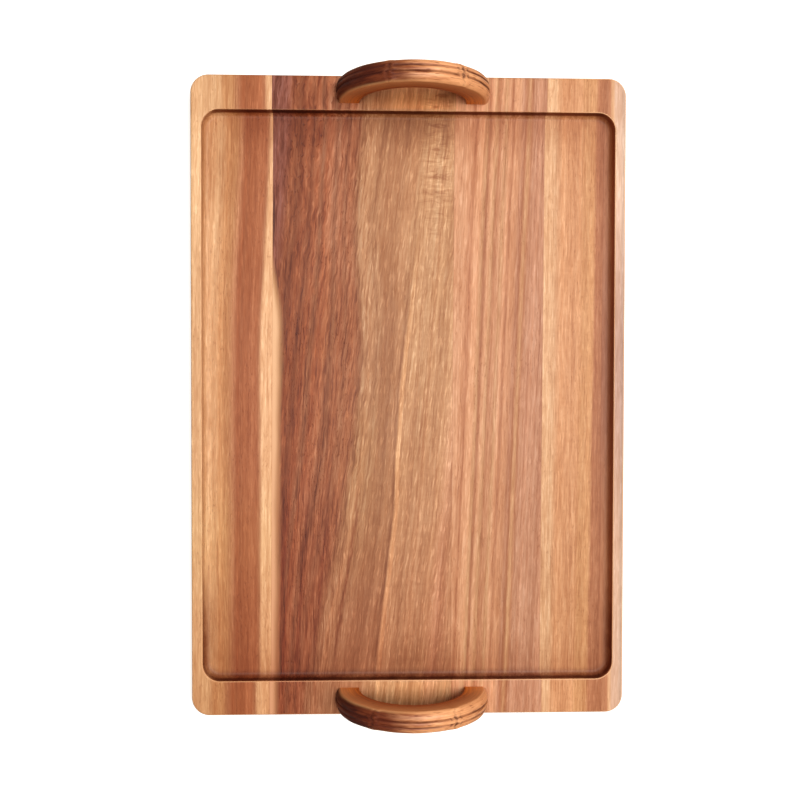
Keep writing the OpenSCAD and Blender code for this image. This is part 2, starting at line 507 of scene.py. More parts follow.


# ---- wood ----

# One entry for each stave, from left to right. The bands run across the stave at mid-length: a
# colour, then a place in millimetres and how light the colour is there, as often as it comes.
# The grain's lean is the sideways run of the bands for each millimetre along the board; the bow
# is a further bend of them, with the stretch over which it builds up. The other numbers are the
# strength of each layer of the wood, the bright dashes among them being painted highlights, and
# the tint of painted shade that the stave takes on towards the front.
STAVES = (
    {
        "node": "left_stave", "piece": "stave_left", "slot": "left_stave_wood", "seed": 3.0,
        "lean": 0.0, "bow": (8.5, 30.0, 225.0), "wobble": 1.4, "sway": 1.0, "streaks": 0.40,
        "rings": 0.35, "strands": 0.20, "painted_glints": 0.40, "flecks": 0.35,
        "front_shade": (0.86, 0.78, 0.70),
        "bands": (("straw", -182, 0.97, -172, 1.02, -160, 1.0, -155, 0.95),
                  ("honey", -150, 1.0, -144, 0.93), ("russet", -139, 0.97),
                  ("rust", -135.5, 1.1, -133, 0.93, -130.5, 1.04, -127.5, 1.0),
                  ("chestnut", -124.5, 1.12, -121, 1.15), ("russet", -118.5, 0.97),
                  ("cream", -116.2, 1.0, -112, 1.06, -108, 1.1, -100, 1.0)),
    },
    {
        "node": "heartwood_stave", "piece": "stave_heartwood", "slot": "heartwood_stave_wood",
        "seed": 11.0, "lean": 0.086, "wobble": 3.2, "sway": 2.4, "streaks": 0.42,
        "rings": 0.55, "strands": 0.72, "painted_glints": 0.80, "flecks": 0.6, "curl": 0.9,
        "front_shade": (0.80, 0.65, 0.62),
        "bands": (("plum", -132, 0.92, -122, 0.88, -115, 1.0),
                  ("cocoa", -109, 0.82, -103, 0.7, -97, 0.96, -91, 0.74, -85, 1.0),
                  ("chestnut", -80, 0.74), ("cocoa", -75, 0.96),
                  ("chestnut", -69, 1.0, -64, 0.74, -58, 1.04, -53, 0.8, -48, 1.02, -44, 0.9),
                  ("biscuit", -39, 0.9, -33, 1.0, -28, 0.9, -22, 1.0, -16, 0.95, -10, 1.02),
                  ("tan", -6, 0.92, 3, 0.97, 9, 0.9, 15, 0.99, 22, 0.93, 30, 1.0), ("sand", 38, 0.94),
                  ("tan", 48, 0.98, 58, 1.0)),
    },
    {
        "node": "striped_stave", "piece": "stave_striped", "slot": "striped_stave_wood",
        "seed": 23.0, "lean": 0.04, "wobble": 1.0, "sway": 0.8, "streaks": 0.40,
        "rings": 0.50, "strands": 0.26, "painted_glints": 0.40, "flecks": 0.3,
        "front_shade": (0.92, 0.93, 0.91),
        "bands": (("tan", 22, 0.98), ("sand", 30, 1.0, 36, 0.96, 41, 1.04), ("russet", 44.5, 1.04),
                  ("sand", 46, 1.06, 50, 1.03), ("tan", 53.5, 0.98), ("russet", 55.5, 0.96),
                  ("sand", 58, 1.03), ("tan", 61, 0.99), ("russet", 63.5, 0.98), ("sand", 66, 0.98),
                  ("tan", 68.5, 0.97), ("sand", 71, 1.02), ("russet", 73.5, 1.0),
                  ("sand", 76, 1.05, 79.5, 0.98), ("rose", 82, 1.04), ("russet", 84, 0.96),
                  ("tan", 86.5, 1.0), ("russet", 88.5, 0.96),
                  ("rose", 90.5, 0.99, 95, 1.07, 98, 1.0, 101, 1.05, 103, 0.98, 107, 1.02,
                   112, 1.05, 118, 1.0)),
    },
    {
        "node": "golden_stave", "piece": "stave_golden", "slot": "golden_stave_wood",
        "seed": 31.0, "lean": 0.012, "wobble": 1.4, "sway": 1.2, "streaks": 0.36,
        "rings": 0.40, "strands": 0.26, "painted_glints": 0.40, "flecks": 0.3, "curl": 0.25,
        "front_shade": (0.93, 0.94, 0.93),
        "bands": (("cream", 100, 0.98, 107, 0.98, 111, 0.98, 114, 0.93),
                  ("amber", 120, 1.04, 125, 0.99, 127, 1.0, 132, 0.97, 134, 1.0),
                  ("honey", 137, 1.02, 141, 0.98, 145, 1.0),
                  ("russet", 148, 1.03, 151, 0.98, 154, 0.96, 160, 0.95)),
    },
    {
        "node": "right_edge_strip", "piece": "edge_strip_right", "slot": "right_edge_wood",
        "seed": 47.0, "lean": 0.0, "wobble": 0.5, "sway": 0.8, "streaks": 0.22,
        "rings": 0.30, "strands": 0.18, "painted_glints": 0.30, "flecks": 0.2,
        "front_shade": (0.97, 0.97, 0.96),
        "bands": (("chestnut", 148, 1.0), ("russet", 153.5, 0.95, 157, 0.9, 159.5, 1.0),
                  ("cream", 161.5, 0.98), ("pink", 163.5, 1.0, 167, 0.97, 170, 0.95, 175, 0.95)),
    },
)

# Dark flames of the heartwood: place at the front, place further back, and half width
FLAMES = ((-101, -97, 5.0), (-88, -80, 3.0), (-74, -64, 3.6), (-58, -40, 2.6))


class WoodFinish(Finish):
    """Oiled wood of one stave: colour bands along the grain, and a method for each layer on them."""

    def __init__(self, stave, colours, sizes, glue_lines):
        super().__init__(stave["slot"])
        self.stave, self.colours, self.sizes = stave, colours, sizes
        self.glue_lines = glue_lines
        self.heart = stave["node"] == "heartwood_stave"
        self.place = self.grain_place()
        bands = [(at, np.array(getattr(colours, name)) * light * colours.gain)
                 for name, *run in stave["bands"] for at, light in zip(run[::2], run[1::2])]
        self.wood = self.place.ramp(bands)
        self.sway = self.grain(self.x, (6.5, 10, 6.5), 13)
        drift = self.grain(self.x, (40, 120, 40), 17)
        fan = stave["lean"]
        if self.heart:
            fan = self.x.ease(-112, -40, 0.02, stave["lean"] * 1.3)
        straight = self.x.blend(drift, 6.0) - self.y * fan
        self.strand_place = straight.wander(self.sway, stave["sway"])
        self.well_half = BOARD_SIZE[1] / 2 - sizes.end_rim / MM
        self.rim_level = self.z.ease(BOARD_TOP - 1, BOARD_TOP)

    def grain(self, across, stretch, number, detail=1.0, **settings):
        """Noise of this stave's own: the number picks one of its patterns."""
        seed = self.stave["seed"] + number
        return noise(across, self.y, self.z, stretch, detail=detail, seed=seed, **settings)

    def layer(self, colour, *factors):
        """Multiplies the wood by a colour, as far as the product of the factors says."""
        self.wood = shade(self.wood, colour, *factors)

    def grain_place(self):
        """Place across the stave's own bands: x, less the lean and bow of the grain, plus a slow wander."""
        x, y, z, wobble = self.x, self.y, self.z, self.stave["wobble"]
        place = x.blend(y, -self.stave["lean"])
        if "bow" in self.stave:
            bow, start, end = self.stave["bow"]
            place = place.blend(y.ease(start, end), -bow)
        if self.heart:
            # the dark heart narrows towards the front, and the middle opens out towards the back
            side = x.ease(-112, -80) * x.ease(-5, -85)
            front = y.ease(-10, -230) * side
            back = y.ease(30, 140) * x.near(-36, 48)
            place = place.blend(front, 18.0).blend(back, 14.0)
        place = place.wander(self.grain(x, (55, 170, 55), 0), 2 * wobble)
        place = place.wander(self.grain(x, (14, 70, 14), 5), 0.7 * wobble)
        return place.blend(z - BOARD_TOP / 2, 0.22)

    def off_glue(self, glue):
        """Distance to the right of a glue line."""
        return (self.x - glue).blend(self.y, -self.sizes.glue_drift / MM / BOARD_SIZE[1])

    def from_wall(self):
        """Distance in from the well's wall: r - |c| - min(max(a, b), 0), where a and b are how far the
        point lies past the corner's centre each way, c holds the positive parts of both, and r is the
        corner's radius."""
        r = self.sizes.well_corner / MM
        a = abs(self.x) - (BOARD_SIZE[0] / 2 - self.sizes.side_rim / MM - r)
        b = abs(self.y) - (self.well_half - r)
        past_a, past_b = a.larger(0.0), b.larger(0.0)
        corner = (past_a * past_a + past_b * past_b).math("SQRT")
        inner = a.larger(b).math("MINIMUM", 0.0)
        return (r - corner) - inner

    def streaks(self):
        """Fibre streaks, broad and narrow, with single fibres and slow clouds."""
        broad = self.grain(self.place, (4.5, 190, 5), 1, 2.0)
        narrow = self.grain(self.strand_place, (2.2, 60, 2.2), 2, 2.0)
        self.fibre = self.grain(self.strand_place, (1.15, 13, 1.15), 3, 2.0, roughness=0.6)
        self.cloud = self.grain(self.place, (26, 70, 26), 4, 2.0)
        streak = broad.ease(0.36, 0.68) * 0.34 + narrow.ease(0.38, 0.66) * 0.40
        streak = streak.blend(self.fibre.ease(0.36, 0.68), 0.52)
        streak = streak.blend(self.cloud.ease(0.3, 0.75), 0.24)
        self.layer((0.70, 0.55, 0.44), streak, self.stave["streaks"] * 1.5)

    def growth_rings(self):
        """Stripes along the grain, darker where the summer wood lies."""
        strength = self.stave["rings"]
        self.rings = self.grain(self.place, (4.4, 1500, 6), 6, 3.0, roughness=0.6)
        self.layer((0.72, 0.57, 0.47), self.rings.ease(0.51, 0.60, 0.0, strength))
        self.layer((1.20, 1.22, 1.24), self.rings.ease(0.46, 0.32, 0.0, strength))

    def strands(self):
        """Wavy strands, and short bright dashes painted as highlights where the grain dips in and out of
        the surface.
        """
        strand = self.grain(self.strand_place, (1.35, 22, 1.35), 14, 2.0, roughness=0.6)
        painted_glint = self.grain(self.strand_place, (1.3, 10, 1.3), 16)
        strength = self.stave["strands"]
        if self.heart:
            strength = self.place.ease(-18, -48, 0.35 * strength, strength)
        self.layer((0.50, 0.31, 0.20), strand.ease(0.50, 0.66), strength)
        self.layer((1.22, 1.50, 1.80), strand.ease(0.49, 0.36), strength)
        # painted highlights: short bright dashes along the grain
        self.layer((1.34, 1.48, 1.62), painted_glint.ease(0.55, 0.68, 0.0, self.stave["painted_glints"]))

    def growth_lines(self):
        """Thin dark lines where the slowly changing noise of the rings passes one value."""
        line = self.rings.near(0.52, 0.016)
        fade = self.grain(self.x, (12, 50, 12), 7).ease(0.45, 0.66)
        self.layer((0.62, 0.44, 0.34), line, fade, self.stave["streaks"] * 1.7)

    def pores(self):
        """Pores and flecks: short dark dashes along the grain."""
        pore = self.grain(self.strand_place, (0.95, 4.0, 0.95), 8).ease(0.60, 0.72)
        dense = self.grain(self.x, (14, 40, 14), 9).ease(0.35, 0.65, 0.15, 1.0)
        if self.heart:
            dense = dense * self.place.ease(-20, -60, 0.35, 1.0)
        self.pore = pore * dense * self.stave["flecks"]
        self.layer((0.42, 0.25, 0.18), self.pore)

    def curl(self):
        """Ripples across the grain, where the wood is curly."""
        ripple = self.grain(self.place, (12, 3.8, 9), 10, 2.0, distortion=0.9)
        patch = 0.4
        if self.heart:
            patch = self.x.near(22, 22) * self.y.ease(95, 175)
            patch = patch.larger(self.place.ease(-40, 5, 0.0, 0.15))
        strength = patch * self.stave["curl"]
        self.layer((0.72, 0.58, 0.50), ripple.ease(0.47, 0.34), strength)
        self.layer((1.22, 1.34, 1.42), ripple.ease(0.53, 0.66), strength)

    def heart_tones(self):
        """Yellower on its right, paler at mid-width, greyer towards the back and redder at mid-length."""
        y, heart_side = self.y, self.place.ease(-30, -70)
        self.layer((1.01, 1.045, 1.04), self.place.ease(-65, -25))
        self.layer((1.08, 1.17, 1.12), self.x.near(-38, 42), y.near(-68, 110))
        self.layer((1.08, 1.15, 1.28), heart_side, y.ease(70, 150))
        self.layer((0.93, 0.86, 0.76), heart_side, y.near(35, 70))

    def pale_line(self):
        """One clear pale growth line, dark along its left side."""
        x, y = self.x, self.y
        track = y.ease(-240, -60, -24.0, -8.5).blend(y.ease(-70, 200), 20.0)
        off_line = (x - track).wander(self.grain(x, (9, 34, 9), 15), 2.6)
        clear = y.ease(150, 30) * y.ease(-226, -200, 0.5, 1.0)
        self.layer((0.62, 0.45, 0.35), off_line.near(-3.4, 2.2), clear * 0.6)
        step = off_line.ease(-1.5, -3.0) * off_line.ease(-45, -6)
        self.layer((0.88, 0.84, 0.82), step, clear)
        bright = clear * y.ease(60, -60, 0.75, 1.0)
        self.layer((1.42, 1.52, 1.56), abs(off_line).ease(2.5, 0.7), bright)

    def flames(self):
        """Dark flames that lean towards the middle, over the front half."""
        y = self.y
        for front_x, back_x, half_width in FLAMES:
            track = y.ease(-215, -70, front_x, back_x).wander(self.sway, 5.0)
            reach = y.ease(-40, -110) * y.ease(-222, -190, 0.5, 1.0)
            self.layer((0.72, 0.54, 0.46), (self.x - track).near(0.0, half_width), reach)

    def sapwood(self):
        """A pale edge beside the first glue line over the front two thirds, and a nearly black seam
        beside the glue towards the back."""
        x, y, colours = self.x, self.y, self.colours
        off_glue = self.off_glue(self.glue_lines[0]).wander(self.grain(x, (6, 45, 6), 12, 2.0), 3.0)
        reach = y.ease(135, 50, -3.5, 6.0) + y.ease(40, -60, 0.0, -1.5)
        over_edge = off_glue - reach
        self.wood = paint(self.wood, np.array(colours.honey) * colours.gain * 0.8,
                          over_edge.ease(4.0, -1.0, 0.0, 0.9))
        self.wood = paint(self.wood, np.array(colours.cream) * colours.gain, over_edge.ease(0.5, -3.5))
        seam = self.off_glue(self.glue_lines[0]).near(0.9, 1.1)
        self.layer((0.18, 0.10, 0.08), y.near(142, 34), seam)

    def glue(self):
        """A trace of glue at the joints."""
        for glue in self.glue_lines:
            if abs(glue) < BOARD_SIZE[0] / 2 - 1:
                joint = abs(self.off_glue(glue)).ease(0.55, 0.05)
                self.layer((0.55, 0.36, 0.28), joint, 0.30)

    def edge_tones(self):
        """A browner stretch at mid-length, and painted shade on the outer edge."""
        self.layer((0.76, 0.70, 0.76), self.y.near(20, 170))
        # painted shade on the outer edge
        self.layer((0.82, 0.86, 0.90), self.x.ease(165.5, 169))

    def ends_and_walls(self):
        """The ends of the fibres are darker, as oiled end grain is. Inside the well the end walls are
        darkened more, most at the back, partly as end grain and partly as painted shade; the side walls
        take painted shade, most on the right; and the lip takes a painted highlight at the front and right."""
        x, y = self.x, self.y
        turned_x, turned_y, turned_z = parts(self.normal)
        self.endwise = abs(turned_y).ease(0.80, 0.99)
        inside = abs(y).ease(self.well_half + 4, self.well_half + 2)
        self.layer((0.50, 0.36, 0.28), self.endwise, inside * -0.2 + 0.75)
        # end walls inside the well: end grain plus painted shade, most at the back
        self.layer((0.52, 0.28, 0.20), self.endwise, inside, y.ease(-50, 50, 0.15, 0.85))
        within = abs(x).ease(BOARD_SIZE[0] / 2 - 2, BOARD_SIZE[0] / 2 - 4)
        # painted shade on the side walls of the well, most on the right
        wall = abs(turned_x).ease(0.30, 0.95) * within
        self.layer((0.55, 0.22, 0.10), wall, x.ease(-100, 100, 0.12, 0.85))
        high = self.z.ease(BOARD_TOP - self.sizes.lip_round / MM, BOARD_TOP - 0.1)
        lip = high * turned_z.ease(0.985, 0.85)
        # painted highlight along the lip, at the front and on the right
        lip_highlight = x.ease(100, 150, 0.15, 1.0).larger(y.ease(-150, -200, 0.15, 0.8))
        self.wood = paint(self.wood, np.array(self.colours.cream) * 1.05, lip, lip_highlight)

    def well_painted_shade(self):
        """Painted shade along the foot of the walls, most at the front and on the right, and painted
        shadows of the handles on the floor near both ends.
        """
        x, y, z = self.x, self.y, self.z
        from_wall = self.from_wall()
        floor_z = BOARD_TOP - self.sizes.well_depth / MM
        below_rim = z.ease(BOARD_TOP - 1.0, BOARD_TOP - 3.0) * from_wall.ease(-2.0, -1.0)
        self.floor_level = below_rim * z.ease(floor_z - 2.0, floor_z - 1.0)
        blotch = noise(x, y, z, (13, 13, 13), detail=3.0, roughness=0.6, seed=5)
        rough_edge = from_wall.wander(blotch, 5.0)
        share = y.ease(-120, -200, 0.08, 0.85).larger(x.ease(110, 150, 0.0, 0.22))
        share = share * blotch.ease(0.25, 0.65, 0.6, 1.1)
        # painted shade at the foot of the walls, then a broader painted shade that also reaches the back
        self.layer((0.34, 0.18, 0.14), rough_edge.ease(8.0, 0.0), share, self.floor_level)
        spread = (share * 0.8).larger(y.ease(120, 200, 0.0, 0.85))
        self.layer((0.74, 0.60, 0.50), rough_edge.ease(40, 2), spread, self.floor_level)
        # painted shadows of the handles on the floor near both ends
        self.layer((0.80, 0.74, 0.66), x.near(12, 48), rough_edge.ease(46, 8), self.floor_level)

    def rims(self):
        """Painted warm light and painted shade under the arches of the handles, and painted light that
        makes the side rims palest towards the back."""
        x, y = self.x, self.y
        back = y.ease(-10, 10)
        end_rim = abs(y).ease(self.well_half - 1, self.well_half + 3)
        arch = x.near(2.5, 52) * self.rim_level * end_rim
        self.layer((1.45, 1.24, 0.95), arch, y.ease(-10, 10, 0.40, 1.0))
        self.layer((0.75, 0.50, 0.33), arch, back, x.near(30, 26))
        stretch = y.ease(90, 150) * y.ease(225, 200)
        # painted light on the side rims towards the back
        self.layer((1.14, 1.22, 1.28), stretch, abs(x).ease(150, 162), self.rim_level)

    def front(self):
        """Painted shade towards the front, on the well's floor and on the left of the board, in each
        stave's own tint.
        """
        forward = self.y.ease(BOARD_SIZE[1] / 5, -BOARD_SIZE[1] / 2)
        # painted shade: darker towards the front
        self.layer(self.stave["front_shade"], forward, self.floor_level.larger(self.x.ease(-20, -75)))


def stave_wood(stave, colours, sizes, glue_lines):
    """The material of one stave, with its layers in order."""
    wood = WoodFinish(stave, colours, sizes, glue_lines)
    wood.streaks()
    wood.growth_rings()
    wood.strands()
    wood.growth_lines()
    wood.pores()
    if "curl" in stave:
        wood.curl()
    if wood.heart:
        wood.heart_tones()
        wood.pale_line()
        wood.flames()
        wood.sapwood()
    if stave["node"] == "left_stave":
        wood.layer((1.09, 1.19, 1.20), wood.y.near(-112, 70))
    wood.glue()
    if stave["node"] == "right_edge_strip":
        wood.edge_tones()
    wood.ends_and_walls()
    wood.well_painted_shade()
    wood.rims()
    wood.front()
    sheen = wood.fibre * 0.16 + wood.cloud * 0.12
    rough = (sheen + 0.34).blend(wood.endwise, 0.15)
    wood.bump(wood.fibre * 0.35 - wood.pore, 0.12)
    return wood.finished(wood.wood, rough, specular=0.22)


# ---- bamboo and steel ----


class BambooFinish(Finish):
    """Lacquered bamboo: fibres that follow the half ring, and a redder skin; its marks lead to the burnt
    joints and to the grooves, dark partly from burning and partly as painted shade.
    """

    def __init__(self, name, colours, centre, base):
        super().__init__(name)
        self.colours = colours
        self.right = self.x - centre
        self.up = self.z - base
        self.out = (self.right * self.right + self.up * self.up).math("SQRT")
        self.along = self.up.math("ARCTAN2", self.right) * 50.0
        self.fibre = self.pattern((0.7, 40, 0.7), 2, 3.0, 0.6)
        self.cloud = self.pattern((9, 26, 9), 9, 2.0)
        self.burn = self.pattern((1.8, 16, 1.8), 14, 3.0, 0.6)

    def pattern(self, stretch, seed, detail=1.0, roughness=0.5):
        """Noise whose grains follow the half ring."""
        return noise(self.out, self.along, self.y, stretch, detail, roughness, seed)

    def mark(self, attribute):
        """One of the numbers that the handle's mesh keeps at its points."""
        node = add_node(self.tree, "Attribute", (), attribute_name=attribute)
        return Value(node.outputs["Fac"])

    def cut_face(self):
        """The flat sides: fine layers round the half ring, and painted light that makes them paler towards
        the feet.
        """
        rings = self.pattern((1.6, 400, 1.6), 21, 3.0, 0.6)
        face = shade(self.colours.bamboo, (0.66, 0.46, 0.34), self.fibre.ease(0.35, 0.72, 0.0, 0.7))
        face = shade(face, (0.76, 0.64, 0.52), rings.ease(0.44, 0.62, 0.0, 0.8))
        face = shade(face, (1.20, 1.30, 1.5), rings.ease(0.48, 0.34, 0.0, 0.8))
        # painted light towards the feet
        return shade(face, (1.95, 2.8, 4.2), self.up.ease(28, 3))

    def outer_skin(self):
        """The ribs: mottled and burnt, with painted shade that deepens these marks and darkens the skin
        towards the left foot, and a painted highlight just right of the crest.
        """
        right = self.right
        skin = shade(self.colours.skin, (0.60, 0.40, 0.29), self.fibre.ease(0.35, 0.72, 0.0, 0.55))
        # painted shade: these mottled and burnt marks grow stronger towards the left foot
        skin = shade(skin, (0.40, 0.20, 0.12), self.cloud.ease(0.44, 0.64, 0.0, 0.85),
                     right.ease(40, -20, 0.15, 1.0))
        skin = shade(skin, (0.52, 0.30, 0.20), self.burn.ease(0.46, 0.64, 0.0, 0.8),
                     right.ease(45, -15, 0.2, 1.0))
        # painted highlight just right of the crest
        skin = shade(skin, (1.12, 1.22, 1.34), right.near(16, 44))
        # painted shade over the whole skin towards the left foot
        self.left_shade = right.wander(self.cloud, 60).ease(12, -28, 0.0, 0.97)
        return shade(skin, (0.20, 0.075, 0.04), self.left_shade)


def bamboo_finish(name, colours, centre, base):
    """The handles' material: the skin over the cut faces, dark dashes, a painted highlight along the skin's
    edges, burnt joints, and grooves darkened partly by burning and partly as painted shade.
    """
    finish = BambooFinish(name, colours, centre, base)
    skin, groove, joint, edge_highlight = (finish.mark(name) for name in ("skin", "groove", "joint", "edge_highlight"))
    dash = finish.pattern((0.9, 7, 0.9), 6)
    bamboo = paint(finish.cut_face(), finish.outer_skin(), skin.ease(0.25, 0.75))
    bamboo = shade(bamboo, (0.40, 0.22, 0.15), dash.ease(0.58, 0.72), 0.7)
    # painted highlight along the skin's edges
    bamboo = paint(bamboo, np.minimum(1, np.array(colours.skin) * 1.25), edge_highlight, 0.6)
    # painted shade across the grooves
    bamboo = shade(bamboo, (0.66, 0.40, 0.28), groove.ease(0.05, 0.7, 0.0, 0.25))
    # grooves: partly burnt bamboo, partly painted shade; joints: burnt
    in_groove = groove.ease(0.2, 1.0) * finish.cloud.ease(0.35, 0.62, 0.35, 0.9)
    at_joint = joint.ease(0.15, 0.9, 0.0, 0.95) * finish.burn.ease(0.30, 0.60, 0.45, 1.0)
    scorch_and_shade_mask = in_groove.larger(at_joint)
    bamboo = paint(bamboo, colours.scorch_and_shade, scorch_and_shade_mask)
    gloss = finish.fibre.ease(0.2, 0.8, 0.56, 0.72).blend(skin, -0.30)
    rough = gloss.blend(scorch_and_shade_mask, 0.35).blend(finish.left_shade * skin, 0.25)
    finish.bump(finish.fibre - dash * 0.4, 0.15)
    return finish.finished(bamboo, rough, specular=0.32)


def screw_finish(name, colours):
    """Zinc-plated steel with a faint bloom."""
    finish = Finish(name)
    bloom = noise(finish.x, finish.y, finish.z, (1.6, 1.6, 1.6), detail=3.0, seed=4)
    steel = shade(colours.steel, (0.72, 0.70, 0.64), bloom.ease(0.35, 0.7, 0.0, 0.6))
    return finish.finished(steel, bloom.ease(0.3, 0.7, 0.25, 0.42), metal=1.0)


# ---- handles ----


def hump(distance, reach):
    """A bell curve: 1 at no distance, 1/e at the reach."""
    return np.exp(-(distance / reach) ** 2)


def handle_outline(sizes, steps):
    """Section of the half ring, as radius and place across it, positive towards the well.

    A rectangle whose outer side is a shallow arc with three rounded ribs: between two valleys
    the arc is lowered by the groove's depth times 1 - (1 - |t|^n)^(1/n), where t runs from -1 to
    1 over the rib. The outline is sampled evenly, and each point is averaged with its neighbours."""
    half = (HANDLE_HIGH[1] - HANDLE_LOW[1]) / 2
    grip, crown = sizes.grip / MM, sizes.crown / MM
    bend = (half ** 2 + crown ** 2) / (2 * crown)
    over = np.linspace(half, -half, OUTLINE_POINTS)
    first = half - sizes.wide_rib / MM
    second = first - sizes.middle_rib / MM
    valleys = np.array((-half, second, first, half))
    rib = np.clip(np.searchsorted(valleys, over) - 1, 0, 2)
    low, high = valleys[rib], valleys[rib + 1]
    t = np.clip(np.abs(2 * (over - low) / (high - low) - 1), 0, 1)
    # darkening at the valleys between the ribs, partly burnt bamboo and partly painted shade
    dark = hump(np.minimum(np.abs(over - first), np.abs(over - second)), 1.05)
    # painted highlight along both edges of the skin
    edge_highlight = hump(half - np.abs(over), 0.9)
    fall = 1 - (1 - t ** sizes.rib_shape) ** (1 / sizes.rib_shape)
    arc_radius = HANDLE_CREST - bend + np.sqrt(bend ** 2 - over ** 2)
    radius = np.concatenate(([grip, grip], arc_radius, [grip]))
    across = np.concatenate(([-half, half], over, [-half]))
    valley, dark, edge_highlight = (np.concatenate(([0, 0], values, [0])) for values in (fall, dark, edge_highlight))
    run = np.concatenate(([0.0], np.cumsum(np.hypot(np.diff(radius), np.diff(across)))))
    even = np.linspace(0, run[-1], steps, endpoint=False)
    radius, across, valley, dark, edge_highlight = (np.interp(even, run, values)
                                          for values in (radius, across, valley, dark, edge_highlight))
    skin = ((even >= run[2]) & (even <= run[-2])).astype(float)
    spread = np.arange(-3, 4)

    def eased(values, reach):
        weights = hump(spread, reach)
        return sum(w * np.roll(values, shift) for w, shift in zip(weights / weights.sum(), spread))

    return eased(radius, 1.4), eased(across, 1.4), eased(skin, 1.4), eased(valley, 0.7), dark, edge_highlight


def handle_mesh(name, sizes, side, joints):
    """Half ring standing on the end rim: the section carried along a half circle.

    Point = (centre + r cos t, place across, base + r sin t), where r is the section's radius less
    the grooves, which close up at a joint, plus a low ridge on the skin at each joint and a
    slight unevenness of the whole ring. The mesh keeps four numbers at its points for the
    material: skin, groove, joint, and the painted highlight along the skin's edges."""
    radius, across, skin, valley, dark, edge_highlight = handle_outline(sizes, sizes.round_steps)
    angle = np.radians(np.linspace(0, 180, sizes.arch_steps))[:, None]
    swell, notch, closed, scar = 0 * angle, 0 * angle, 0 * angle, 0 * angle
    near_groove = dark ** 0.45
    for degrees, lean in joints:
        jog = 0.8 * np.sin(0.62 * across + degrees) + 0.5 * np.sin(1.7 * across + 3 * degrees)
        off = (angle - np.radians(degrees)) * HANDLE_CREST + lean * across + jog
        share = 0.55 + 0.45 * np.sin(1.1 * across + 2 * degrees)
        swell = swell + share * (1.5 * hump(off + 2.6, 2.2) + 0.5 * hump(off - 2.4, 2.0))
        notch = notch + (0.45 + 0.55 * near_groove) * hump(off, 1.7)
        scar = scar + 0.8 * near_groove * hump(np.abs(off) - 4.6, 2.0)
        closed = np.maximum(closed, np.exp(-(off / 3.4) ** 4))
    uneven = 0.16 * np.sin(7 * angle + side + 0.3 * across) + 0.10 * np.sin(19 * angle + 2 * side)
    open_groove = 1 - 0.75 * closed
    lift = sizes.ridge / MM * (swell - 0.8 * notch - 0.6) + uneven
    r = radius + skin * lift - sizes.groove / MM * valley * open_groove
    middle = (HANDLE_LOW[1] + HANDLE_HIGH[1]) / 2
    x = HANDLE_CENTRE + r * np.cos(angle)
    y = np.broadcast_to(side * (middle - across), x.shape)
    z = HANDLE_LOW[2] + r * np.sin(angle)
    mesh = tube_mesh(name, np.stack((x, y, z), axis=-1) * MM)
    marks = {"skin": np.broadcast_to(skin, x.shape), "groove": dark * open_groove,
             "joint": skin * (notch + scar), "edge_highlight": np.broadcast_to(edge_highlight, x.shape)}
    for mark, values in marks.items():
        attribute = mesh.attributes.new(mark, "FLOAT", "POINT")
        attribute.data.foreach_set("value", np.clip(values, 0, 1).astype(np.float32).ravel())
    return mesh


# ---- screws ----


def screw_mesh(name, sizes, centre, low, high):
    """Flat-head wood screw, driven upwards: rows of rings from the recess to the point.

    Across the head's face the height is the depth of the cross; below the head, radius = core plus
    a ridge that climbs one pitch for each turn, fading in over the shank and out at the point."""
    angle = np.linspace(0, 2 * np.pi, SCREW_ROUND, endpoint=False)[None, :]
    head, shank = sizes.head / MM / 2, sizes.shank / MM / 2
    face_r = (np.linspace(0.0, 1.0, FACE_RINGS) * head)[:, None] * np.ones_like(angle)
    x, y = face_r * np.cos(angle), face_r * np.sin(angle)
    near_arm = np.minimum(np.abs(x), np.abs(y))
    reach = np.maximum(np.abs(x), np.abs(y))
    slot = np.clip((sizes.slot / MM / 2 - near_arm) / SLOT_SLOPE + 0.5, 0, 1)
    end = np.clip((sizes.arm / MM / 2 - reach) / ARM_SLOPE, 0, 1)
    face_z = low + sizes.recess / MM * slot * end
    rise = np.linspace(0, 1, CONE_RINGS)[1:, None] * np.ones_like(angle)
    cone_r, cone_z = head + (shank - head) * rise, low + (head - shank) * rise
    body_z = np.linspace(low + head - shank + 0.2, high, BODY_RINGS)[:, None] * np.ones_like(angle)
    start = low + (high - low) * THREAD_START
    turn = np.mod(body_z / (sizes.pitch / MM) - angle / (2 * np.pi), 1.0)
    ridge = np.clip(1 - np.abs(turn - 0.5) * 3.2, 0, 1)
    threaded = np.clip((body_z - start) / THREAD_RISE, 0, 1)
    taper = TIP_RADIUS + (1 - TIP_RADIUS) * np.sqrt(np.clip((high - body_z) / TIP_LENGTH, 0, 1))
    body_r = shank * (1 - threaded * THREAD_DEPTH * (1 - ridge)) * taper
    r = np.concatenate((face_r, cone_r, body_r))
    z = np.concatenate((face_z, cone_z, body_z))
    a = np.broadcast_to(angle, r.shape)
    points = np.stack((centre[0] + r * np.cos(a), centre[1] + r * np.sin(a), z), axis=-1) * MM
    return settle(tube_mesh(name, points), ROUND_SHARP)


def joined(name, meshes):
    """One mesh made of several that don't touch."""
    bm = bmesh.new()
    for mesh in meshes:
        bm.from_mesh(mesh)
    whole = bpy.data.meshes.new(name)
    bm.to_mesh(whole)
    bm.free()
    whole.shade_smooth()
    whole.set_sharp_from_angle(angle=math.radians(ROUND_SHARP))
    return whole


def screw_places(node, sizes):
    """Centres of the two screws of a CAD node, and the heights where they start and end."""
    low, high = box_mm(node)
    head = sizes.head / MM / 2
    middle = (low[1] + high[1]) / 2
    return ((low[0] + head, middle), (high[0] - head, middle)), low[2], high[2]


# ---- operators ----


